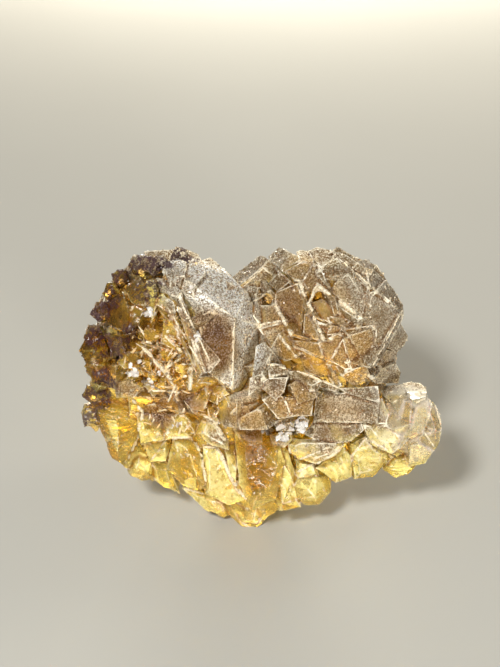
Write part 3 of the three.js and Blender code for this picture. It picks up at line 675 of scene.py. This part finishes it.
class Nodes:
    """A small helper that makes and joins shader nodes."""

    def __init__(self, name):
        self.material = bpy.data.materials.new(name)
        self.material.use_nodes = True
        self.tree = self.material.node_tree
        self.tree.nodes.clear()
        self.place = self.make("ShaderNodeTexCoord").outputs["Object"]

    def make(self, kind, **settings):
        """A new node with its settings."""
        node = self.tree.nodes.new(kind)
        for key, value in settings.items():
            setattr(node, key, value)
        return node

    def feed(self, socket, value):
        """Joins a socket to another one, or sets it."""
        if isinstance(value, bpy.types.NodeSocket):
            self.tree.links.new(value, socket)
        elif isinstance(value, tuple) and len(value) == 3 and socket.type == "RGBA":
            socket.default_value = (*value, 1)
        else:
            socket.default_value = value

    def attribute(self, name):
        return self.make("ShaderNodeAttribute", attribute_name=name).outputs["Fac"]

    def attributes(self, *names):
        return [self.attribute(name) for name in names]

    def maths(self, operation, a, b=0.0, clamp=False):
        node = self.make("ShaderNodeMath", operation=operation, use_clamp=clamp)
        self.feed(node.inputs[0], a)
        self.feed(node.inputs[1], b)
        return node.outputs[0]

    def times(self, a, b):
        return self.maths("MULTIPLY", a, b)

    def ramp(self, value, low, high, start=0.0, end=1.0):
        """A soft step from start, where value is low, to end, where it is high."""
        node = self.make("ShaderNodeMapRange", interpolation_type="SMOOTHSTEP", clamp=True)
        for socket, given in zip(node.inputs, (value, low, high, start, end)):
            self.feed(socket, given)
        return node.outputs["Result"]

    def mix(self, share, a, b, way="MIX"):
        node = self.make("ShaderNodeMix", data_type="RGBA", clamp_factor=True, blend_type=way)
        self.feed(node.inputs[0], share)
        self.feed(node.inputs[6], a)
        self.feed(node.inputs[7], b)
        return node.outputs[2]

    def tinted(self, share, colour, tint):
        """A share of a colour, multiplied by a tint."""
        return self.mix(share, colour, self.mix(1.0, colour, tint, "MULTIPLY"))

    def blend(self, share, a, b):
        """As mix, for numbers."""
        node = self.make("ShaderNodeMix", data_type="FLOAT", clamp_factor=True)
        self.feed(node.inputs[0], share)
        self.feed(node.inputs[2], a)
        self.feed(node.inputs[3], b)
        return node.outputs[0]

    def noise(self, size, detail=2.0, roughness=0.5, distortion=0.0):
        """Noise whose features are about size millimetres across."""
        node = self.make("ShaderNodeTexNoise")
        self.feed(node.inputs["Vector"], self.place)
        node.inputs["Scale"].default_value = 1 / (size * MM)
        node.inputs["Detail"].default_value = detail
        node.inputs["Roughness"].default_value = roughness
        node.inputs["Distortion"].default_value = distortion
        return node.outputs["Fac"]

    def cells(self, size):
        """A random value for each cell of about size millimetres."""
        node = self.make("ShaderNodeTexVoronoi")
        self.feed(node.inputs["Vector"], self.place)
        node.inputs["Scale"].default_value = 1 / (size * MM)
        return node.outputs["Color"]

    def bands(self, size, distortion, way="DIAGONAL"):
        """Wavy bands about size millimetres wide."""
        node = self.make("ShaderNodeTexWave", wave_type="BANDS", bands_direction=way)
        self.feed(node.inputs["Vector"], self.place)
        node.inputs["Scale"].default_value = 1 / (size * MM)
        node.inputs["Distortion"].default_value = distortion
        node.inputs["Detail"].default_value = 2.0
        node.inputs["Detail Scale"].default_value = 0.6
        return node.outputs["Fac"]

    def bump(self, height, strength, distance, under=None):
        """A normal from a height of up to distance millimetres, on top of another normal."""
        node = self.make("ShaderNodeBump")
        self.feed(node.inputs["Strength"], strength)
        node.inputs["Distance"].default_value = distance * MM
        self.feed(node.inputs["Height"], height)
        if under is not None:
            self.feed(node.inputs["Normal"], under)
        return node.outputs["Normal"]

    def principled(self, **sockets):
        node = self.make("ShaderNodeBsdfPrincipled")
        for key, value in sockets.items():
            self.feed(node.inputs[key.replace("_", " ")], value)
        output = self.make("ShaderNodeOutputMaterial")
        self.tree.links.new(node.outputs["BSDF"], output.inputs["Surface"])
        return node, output

    def absorb(self, output, colour, density):
        node = self.make("ShaderNodeVolumeAbsorption")
        node.inputs["Color"].default_value = (*colour, 1)
        node.inputs["Density"].default_value = density
        self.tree.links.new(node.outputs["Volume"], output.inputs["Volume"])


HONEY, PALE_HONEY, DEEP_HONEY = (1.0, 0.78, 0.14), (1.0, 0.88, 0.27), (0.82, 0.50, 0.06)
PEARLY_HONEY, BROWN_TINT = (1.0, 0.89, 0.29), (0.36, 0.20, 0.03)
TAUPE, SILVERY_SHEEN, CRUST_AMBER = (0.25, 0.178, 0.08), (0.78, 0.82, 0.80), (0.56, 0.33, 0.05)
SPECK_LIGHT, SPECK_DARK = (0.96, 0.88, 0.68), (0.17, 0.09, 0.025)
EDGE_HIGHLIGHT, PURPLE = (0.97, 0.90, 0.72), (0.045, 0.018, 0.022)
COLOURLESS, FROST, GLINT = (0.97, 0.96, 0.91), (0.46, 0.41, 0.32), (0.66, 0.54, 0.42)
PEARL, SPECK_SILVER, SPECK_AMBER = (1.0, 0.91, 0.38), (0.98, 0.97, 0.94), (0.86, 0.64, 0.30)
# Tints, which a colour is multiplied by.
DEEPER, DULLER, HONEYED = (0.86, 0.66, 0.32), (0.60, 0.50, 0.38), (0.66, 0.50, 0.28)
CRACK_SHADE, BROWN_GLASS = (0.36, 0.20, 0.06), (0.56, 0.46, 0.17)
GRAIN_AMBER, GRAIN_DULLER = (0.80, 0.52, 0.22), (0.6, 0.5, 0.4)
ABSORBED, DENSITY, IOR, GRAIN_IOR = (0.97, 0.79, 0.06), 58.0, 1.434, 1.45


def purple_spots(n, dark):
    """Where purple-black growth spots the dark zones."""
    return n.ramp(n.times(dark, n.ramp(n.noise(0.55, 3, 0.65), 0.4, 0.55)), 0.25, 0.5)


def fluorite_material():
    """See-through honey where it is bare, and a frosted, speckled crust elsewhere."""
    n = Nodes("crusted_fluorite")
    coat, rim, crack, tone = n.attributes("coat", "rim", "crack", "tone")
    amber, crust_and_sheen, brown_and_shade, dark = n.attributes("amber", "crust_and_sheen", "brown_and_shade", "dark")
    clear, pale, frosted, ribbed = n.attributes("clear", "pale", "frosted", "ribbed")
    specks = n.cells(0.15)
    fine = n.noise(0.25, 3, 0.6)
    broad = n.noise(2.2, 3, 0.55)
    cover = n.maths("ADD", coat, n.times(n.maths("SUBTRACT", broad, 0.5), 0.5), clamp=True)
    cover = n.ramp(cover, 0.15, 0.85)

    honey = n.mix(n.ramp(broad, 0.35, 0.65), HONEY, PALE_HONEY)
    pearly = n.times(n.ramp(tone, 0.5, 0.95), n.ramp(fine, 0.3, 0.6, 0.4, 1.0))
    honey = n.mix(n.times(pearly, 0.8), honey, PEARLY_HONEY)
    honey = n.tinted(n.ramp(tone, 0.4, 0.1, 0, 0.6), honey, DEEPER)
    honey = n.mix(n.times(amber, 0.85), honey, DEEP_HONEY)
    pearl = n.times(pale, n.ramp(n.noise(0.9, 3, 0.6, 0.5), 0.35, 0.6, 0.35, 1.0))
    honey = n.mix(n.times(pearl, 0.9), honey, PEARL)

    # The crust is thicker towards a face's edges, and lets more honey through in its middle.
    inner = n.ramp(n.maths("ADD", rim, n.times(broad, 0.8)), 0.5, 2.0)
    # On the thickly crusted faces the crust takes a painted silvery sheen, with more pale specks and less
    # light through.
    crust = n.mix(crust_and_sheen, TAUPE, SILVERY_SHEEN)
    crust = n.mix(n.times(amber, 0.8), crust, CRUST_AMBER)
    crust = n.tinted(n.times(n.ramp(tone, 0, 1, 0.75, 0), n.blend(crust_and_sheen, 1.0, 0.4)), crust, DULLER)
    crust = n.tinted(n.times(inner, n.blend(crust_and_sheen, 0.75, 0.1)), crust, HONEYED)
    light = n.maths("SUBTRACT", n.blend(crust_and_sheen, 0.56, 0.9), n.times(inner, 0.35))
    speck = n.mix(amber, n.mix(crust_and_sheen, SPECK_LIGHT, SPECK_SILVER), SPECK_AMBER)
    crust = n.mix(n.times(n.ramp(specks, 0.5, 0.66), light), crust, speck)
    crust = n.mix(n.times(n.ramp(specks, 0.46, 0.3), n.blend(crust_and_sheen, 0.7, 0.85)), crust, SPECK_DARK)

    colour = n.mix(cover, honey, crust)
    # Painted shade: darker in and near the inward creases and cracks, which also let less light through
    # there.
    crack_shade = n.ramp(n.maths("ADD", crack, n.times(fine, 0.3)), 0.66, 0.22)
    colour = n.tinted(n.times(crack_shade, 0.9), colour, CRACK_SHADE)
    # Painted highlight: a thin pale line along the outward crystal edges, broken by noise and weaker on the
    # purple growth; it also lets less light through there.
    edge = n.ramp(n.maths("ADD", rim, n.times(fine, 0.3)), 0.38, 0.2)
    edge = n.times(edge, n.ramp(broad, 0.42, 0.58, 0.12, 1.0))
    edge = n.times(edge, n.ramp(cover, 0, 1, 0.6, 0.95))
    edge = n.times(edge, n.ramp(dark, 0.1, 0.6, 1.0, 0.1))
    colour = n.mix(edge, colour, EDGE_HIGHLIGHT)
    # The brown zones darken the colour: partly real brown honey, partly painted shade in hollows and on faces
    # turned from the light.
    tint = n.mix(n.maths("MAXIMUM", cover, n.ramp(dark, 0.1, 0.5)), BROWN_GLASS, BROWN_TINT)
    colour = n.tinted(brown_and_shade, colour, tint)
    colour = n.mix(n.times(n.times(brown_and_shade, cover), n.ramp(specks, 0.58, 0.7, 0, 0.45)), colour, GLINT)
    spots = purple_spots(n, dark)
    colour = n.mix(n.times(spots, 0.92), colour, PURPLE)
    colour = n.mix(n.times(clear, 0.6), colour, COLOURLESS)
    colour = n.mix(n.ramp(n.times(frosted, clear), 0, 0.5, 0, 0.9), colour, FROST)

    # How see-through it is, and what takes that away: each value, its most, and what it leaves.
    glassy, crusted = n.blend(brown_and_shade, 0.84, 0.95), n.blend(n.maths("MAXIMUM", inner, amber), 0.5, 0.72)
    through = n.blend(cover, glassy, crusted)
    bare_pearl = n.times(pearly, n.ramp(cover, 1, 0))
    for value, most, left_over in (
        (crust_and_sheen, 1, 0.6),
        (frosted, 0.8, 0.08),
        (spots, 1, 0.3),
        (edge, 1, 0.6),
        (pearl, 1, 0.66),
        (crack_shade, 1, 0.7),
        (bare_pearl, 1, 0.7),
    ):
        through = n.times(through, n.ramp(value, 0, most, 1.0, left_over))
    rough = n.blend(cover, n.ramp(fine, 0.2, 0.8, 0.13, 0.3), n.ramp(specks, 0, 1, 0.8, 0.4))

    relief = n.bump(specks, n.ramp(cover, 0.2, 0.8, 0.1, 0.6), 0.08)
    relief = n.bump(fine, n.ramp(cover, 0, 1, 0.22, 0.5), 0.12, relief)
    uneven = n.maths("ADD", n.noise(1.0, 3, 0.55, 0.4), n.bands(5.0, 9.0))
    relief = n.bump(n.times(uneven, n.ramp(cover, 0.5, 0.0)), 0.5, 0.25, relief)
    relief = n.bump(n.times(n.bands(1.7, 5.0, "Z"), ribbed), 0.7, 0.26, relief)
    _, output = n.principled(
        Base_Color=colour, Roughness=rough, Transmission_Weight=through, IOR=IOR, Normal=relief
    )
    n.absorb(output, ABSORBED, DENSITY)
    return n.material


def grain_material(name, light, dull, through, rough):
    """Small crystals: each has a tone between dull and light, tinted as the crust under it is."""
    n = Nodes(name)
    tone, amber, dark, brown_and_shade, frosted = n.attributes("tone", "amber", "dark", "brown_and_shade", "frosted")
    fine = n.noise(0.15, 2, 0.6)
    colour = n.mix(tone, dull, light)
    colour = n.mix(n.times(amber, 0.45), colour, GRAIN_AMBER)
    # Darker in the brown zones, which are partly painted shade.
    colour = n.tinted(brown_and_shade, colour, BROWN_TINT)
    spots = purple_spots(n, dark)
    colour = n.mix(n.times(spots, 0.9), colour, PURPLE)
    colour = n.tinted(n.ramp(fine, 0.6, 0.3, 0, 0.4), colour, GRAIN_DULLER)
    cloudy = n.maths("MAXIMUM", spots, frosted)
    n.principled(
        Base_Color=colour,
        Roughness=n.ramp(fine, 0.2, 0.8, rough * 0.7, rough * 1.3),
        Transmission_Weight=n.times(n.ramp(cloudy, 0, 1, 1.0, 0.15), through),
        IOR=GRAIN_IOR,
        Normal=n.bump(fine, 0.4, 0.05),
    )
    return n.material


# ---------------------------------------------------------------- the mass and what lies on it

BETWEEN_CLUSTERS = 1.5  # mm to the right of the foot's middle
GRAIN_SIZE = (0.08, 0.24)  # mm across, the smallest and the largest

place(body, fluorite_material())

# The druse grains that stand out of the crust.
crust_grain = grain_material("crust_grains", (0.98, 0.89, 0.69), (0.20, 0.125, 0.05), 0.45, 0.3)
leftward = (points[:, 0] < BETWEEN_CLUSTERS).astype(float)
place(grains("crust_left", coat * leftward, 7000, GRAIN_SIZE, seed=21), crust_grain)
place(grains("crust_right", coat * (1 - leftward), 8000, GRAIN_SIZE, seed=22), crust_grain)

# Small crystals between the large ones, on the rim and in the hollow of the left cluster.
small = grains(
    "small_crystals",
    knobby + 1.5 * zones["dark"],
    count=1100,
    size=(0.25, 0.95),
    seed=31,
    tilt=50,
    sink=0.74,
    flat=0.6,
    shapes=FLAKES,
)
place(small, grain_material("small_crystals", (1.0, 0.86, 0.58), (0.88, 0.60, 0.25), 0.85, 0.22))

# Chips on the broken base.
chips = grains(
    "base_chips",
    bare * smoothstep(1.0, 3.0, points[:, 2]) * (1 - smoothstep(14, 17, points[:, 2])),
    count=620,
    size=(0.6, 1.8),
    seed=41,
    tilt=35,
    sink=0.68,
    flat=0.45,
    shapes=FLAKES,
)
place(chips, grain_material("base_chips", (1.0, 0.91, 0.48), (0.97, 0.74, 0.24), 0.75, 0.2))

# ---------------------------------------------------------------- ridges, splinters, white crystals

RIDGE_STEP = 1.1  # pixels between a ridge's points
RIDGE_WAVE, WAVE_SIZE = 0.9, 7  # pixels that a ridge strays, and how slowly
BREAK_BELOW, BREAK_SIZE = -0.34, 5  # where noise is lower than this, a ridge is broken
RIDGE_JUMP = 0.9  # mm between two points where a ridge ends, because the surface falls away
RIDGE_ROOT = 0.15  # mm that a ridge reaches into the surface
SHORTEST_RUN = 4  # points in the shortest unbroken length that is built
# The ridges' pale colour is a painted highlight on raised plate edges.
RIDGES = [  # thin pale raised edges: from pixel, to pixel, width in mm
    ((317, 285), (361, 318), 0.44),
    ((317, 285), (309, 303), 0.28),
    ((292, 280), (300, 281), 0.34),
    ((299, 281), (324, 341), 0.36),
    ((275, 305), (292, 335), 0.36),
    ((258, 326), (285, 320), 0.3),
    ((279, 335), (296, 357), 0.3),
    ((343, 338), (349, 368), 0.16),
    ((402, 310), (372, 367), 0.18),
    ((343, 262), (375, 290), 0.2),
    ((366, 268), (370, 288), 0.18),
    ((358, 328), (374, 326), 0.18),
    ((374, 326), (375, 336), 0.2),
    ((267, 364), (300, 372), 0.26),
    ((300, 372), (339, 388), 0.26),
    ((329, 376), (338, 390), 0.3),
    ((240, 290), (263, 268), 0.2),
    ((248, 305), (270, 291), 0.2),
    ((234, 318), (232, 392), 0.2),
    ((141, 345), (173, 381), 0.3),
    ((165, 335), (182, 353), 0.3),
    ((182, 353), (166, 369), 0.3),
    ((191, 367), (190, 390), 0.36),
    ((140, 340), (158, 346), 0.24),
    ((168, 308), (205, 372), 0.2),
    ((180, 300), (212, 365), 0.22),
    ((152, 390), (180, 392), 0.24),
    ((176, 384), (168, 402), 0.26),
    ((131, 397), (143, 412), 0.36),
    ((143, 412), (137, 438), 0.36),
    ((137, 438), (128, 458), 0.3),
    ((172, 438), (190, 437), 0.3),
    ((190, 437), (200, 451), 0.34),
    ((200, 451), (206, 482), 0.34),
    ((204, 416), (213, 420), 0.3),
    ((213, 420), (228, 446), 0.36),
    ((204, 447), (217, 447), 0.3),
    ((217, 447), (233, 482), 0.4),
    ((233, 482), (247, 500), 0.3),
    ((289, 448), (297, 472), 0.26),
    ((297, 472), (316, 462), 0.3),
    ((298, 460), (330, 447), 0.26),
    ((316, 464), (346, 446), 0.3),
    ((352, 456), (366, 438), 0.26),
    ((366, 438), (388, 450), 0.3),
    ((150, 462), (166, 440), 0.26),
    ((184, 488), (204, 494), 0.26),
    ((416, 403), (427, 397), 0.22),
    ((427, 396), (432, 406), 0.22),
    ((432, 406), (424, 432), 0.2),
    ((434, 402), (443, 430), 0.2),
    ((406, 392), (392, 404), 0.24),
    ((424, 432), (436, 450), 0.2),
]


def ridge_walls():
    """Each ridge as a thin wall along the surface, with an uneven top, broken here and there."""
    random = np.random.default_rng(51)
    corners, faces, tones = [], [], []
    for start, end, width in RIDGES:
        start, end = np.array(start, float), np.array(end, float)
        steps = int(np.linalg.norm(end - start) / RIDGE_STEP)
        pixels = start + (end - start) * np.linspace(0, 1, steps + 1)[:, None]
        strayed = [[noise.noise(Vector((*pixel / WAVE_SIZE, k))) for k in (0, 9)] for pixel in pixels]
        pixels += np.array(strayed) * RIDGE_WAVE
        met = [seen_at(body_tree, pixel) for pixel in pixels]
        spots = np.array([spot for spot, _ in met])
        ups = np.array([up for _, up in met])
        gap = np.array([noise.noise(Vector((*pixel / BREAK_SIZE, 3))) < BREAK_BELOW for pixel in pixels[1:]])
        gap |= np.linalg.norm(np.diff(spots, axis=0), axis=1) > RIDGE_JUMP
        for run in np.split(np.arange(steps + 1), np.nonzero(gap)[0] + 1):
            if len(run) < SHORTEST_RUN:
                continue
            up = unit(ups[run].mean(axis=0) + 0.5 * ups[run])
            side = unit(np.cross(up, spots[run[-1]] - spots[run[0]]))
            from_end = np.minimum(np.arange(len(run)), np.arange(len(run))[::-1])
            taper = np.minimum(1, 0.45 + 0.55 * from_end / 2)
            half = (width / 2 * taper * (0.75 + 0.5 * random.random(len(run))))[:, None]
            tall = (width * 0.8 * taper * (0.6 + 0.8 * random.random(len(run))))[:, None]
            # The five corners of its section, at each of its points.
            ring = [
                spots[run] - up * RIDGE_ROOT - side * half * 1.3,
                spots[run] + up * tall * 0.75 - side * half,
                spots[run] + up * tall + side * half * 0.2,
                spots[run] + up * tall * 0.65 + side * half,
                spots[run] - up * RIDGE_ROOT + side * half * 1.3,
            ]
            first = sum(len(part) for part in corners)
            corners.append(np.stack(ring, axis=1).reshape(-1, 3))
            tones.append(np.repeat(0.4 + 0.6 * random.random(len(run)), 5))
            for i in range(len(run) - 1):
                for k in range(5):
                    a, b = first + 5 * i + k, first + 5 * i + (k + 1) % 5
                    faces += [(a, b, b + 5), (a, b + 5, a + 5)]
            last = first + 5 * (len(run) - 1)
            faces += [(first, first + k + 1, first + k) for k in (1, 2, 3)]
            faces += [(last, last + k, last + k + 1) for k in (1, 2, 3)]
    corners = np.clip(np.vstack(corners), LOWEST + MARGIN, HIGHEST - MARGIN)
    return mesh_object("ridges_with_painted_highlight", corners, np.array(faces), {"tone": np.concatenate(tones)})


# The ridges are coloured pale as a painted highlight on the raised plate edges.
place(ridge_walls(), grain_material("ridges_with_painted_highlight", (0.97, 0.88, 0.67), (0.62, 0.46, 0.25), 0.35, 0.45))

SPLINTERS, SPLINTERED_BACK_TO = 200, 2  # how many, and how far back in mm
SPLINTER_LIFT = 0.08  # mm above the surface
SPLINTERED = [
    ((150, 350), 5.0, 0.9),
    ((176, 384), 5.5, 1.0),
    ((204, 404), 5.0, 1.0),
    ((165, 325), 4.0, 0.8),
    ((160, 412), 4.5, 1.0),
    ((188, 424), 4.0, 0.8),
]


def splinters():
    """Thin pale blades lying at all angles in the hollow."""
    random = np.random.default_rng(71)
    count = SPLINTERS
    spots, up, _ = chosen(zone(SPLINTERED) * (points[:, 1] < SPLINTERED_BACK_TO), count, random)
    lying = unit(np.cross(up, random.normal(size=up.shape)))
    lying = unit(lying + up * (0.5 * random.random((count, 1))))
    side = unit(np.cross(up, lying))
    frames = np.stack([np.cross(lying, side), side, lying], axis=2)
    thick, wide = 0.14 + 0.14 * random.random(count), 0.3 + 0.3 * random.random(count)
    sizes = np.column_stack([thick, wide, 1.0 + 2.0 * random.random(count) ** 2])
    spots = spots + up * SPLINTER_LIFT
    picks = random.integers(len(FLAKES), size=count)
    corners, faces, which = gathered(FLAKES, spots, frames, sizes, np.full(count, 0.5), picks)
    return mesh_object("pale_splinters", corners, faces, {"tone": random.random(count)[which]})


place(splinters(), grain_material("pale_splinters", (1.0, 0.91, 0.70), (0.84, 0.60, 0.28), 0.5, 0.22))

PER_GROUP, GROUP_SPREAD = 9, 1.7  # crystals at each place, and how far apart for their size
WHITE = [  # pixel, size in mm
    ((149, 312), 1.9),
    ((198, 337), 1.3),
    ((133, 372), 2.5),
    ((150, 382), 1.6),
    ((191, 288), 0.9),
    ((160, 372), 0.9),
    ((302, 425), 2.3),
    ((283, 438), 2.5),
    ((268, 432), 1.5),
    ((292, 430), 1.7),
    ((178, 424), 1.4),
]


def white_crystals():
    """A tilted white crystal at each place, with smaller ones round it."""
    random = np.random.default_rng(61)
    spots, ups, sizes = [], [], []
    for pixel, size in WHITE:
        for k in range(PER_GROUP):
            away = random.normal(size=2) * size * (0.0 if k == 0 else GROUP_SPREAD)
            spot, up = seen_at(body_tree, np.array(pixel) + away)
            spots.append(spot)
            ups.append(up)
            share = 0.62 if k == 0 else 0.3 + 0.3 * random.random()
            sizes.append(size * share * (0.8 + 0.4 * random.random(3)))
    count = len(spots)
    picks = random.integers(len(FLAKES), size=count)
    frames = turned(np.array(ups), 75, random)
    corners, faces, which = gathered(FLAKES, np.array(spots), frames, sizes, np.full(count, 0.3), picks)
    return mesh_object("white_crystals", corners, faces, {"tone": random.random(count)[which]})


white = grain_material("white_crystals", (0.93, 0.91, 0.87), (0.70, 0.63, 0.56), 0.3, 0.2)
place(white_crystals(), white)

# ---------------------------------------------------------------- floor and light


def floor_material():
    """A plain pale floor with a faint unevenness."""
    n = Nodes("pale_floor")
    colour = n.mix(n.noise(60, 3, 0.5), (0.36, 0.35, 0.315), (0.39, 0.38, 0.345))
    n.principled(Base_Color=colour, Roughness=0.6)
    return n.material


FLOOR_DROP = 0.00003  # m: just under the foot, so that the two faces don't coincide
bpy.ops.mesh.primitive_plane_add(size=3.0, location=(0, 0, -FLOOR_DROP))
floor = bpy.context.active_object
floor.name = "floor"
floor.data.materials.append(floor_material())

world = bpy.data.worlds.new("world")
bpy.context.scene.world = world
world.use_nodes = True
sky = world.node_tree.nodes["Background"]
sky.inputs["Color"].default_value = (1.0, 0.98, 0.94, 1)
sky.inputs["Strength"].default_value = 0.24

LIT_POINT = Vector((0, 0, 0.015))  # what the lights are turned to


def area_light(name, location, size, power, colour):
    """A round light turned to the specimen, in metres and watts."""
    data = bpy.data.lights.new(name, "AREA")
    data.shape = "DISK"
    data.size = size
    data.energy = power
    data.color = colour
    made = bpy.data.objects.new(name, data)
    made.location = location
    made.rotation_euler = (LIT_POINT - Vector(location)).to_track_quat("-Z", "Y").to_euler()
    bpy.context.scene.collection.objects.link(made)
    return made


area_light("key", (0.24, 0.14, 0.22), 0.12, 0.25, (1.0, 0.96, 0.88))
low_back = area_light("low_back", (0.01, 0.33, 0.02), 0.16, 6.0, (1.0, 0.95, 0.84))
# The back light shines through the stone: low and wide, and without a white sheen on top.
low_back.data.shape, low_back.data.size_y = "RECTANGLE", 0.045
low_back.visible_glossy = False
area_light("fill", (-0.10, -0.18, 0.28), 0.06, 1.5, (1.0, 1.0, 0.98))
area_light("low_front", (0.17, -0.47, 0.075), 0.12, 2.3, (1.0, 0.97, 0.90))

bpy.context.scene.view_settings.view_transform = "Standard"
bpy.context.scene.view_settings.exposure = -0.25
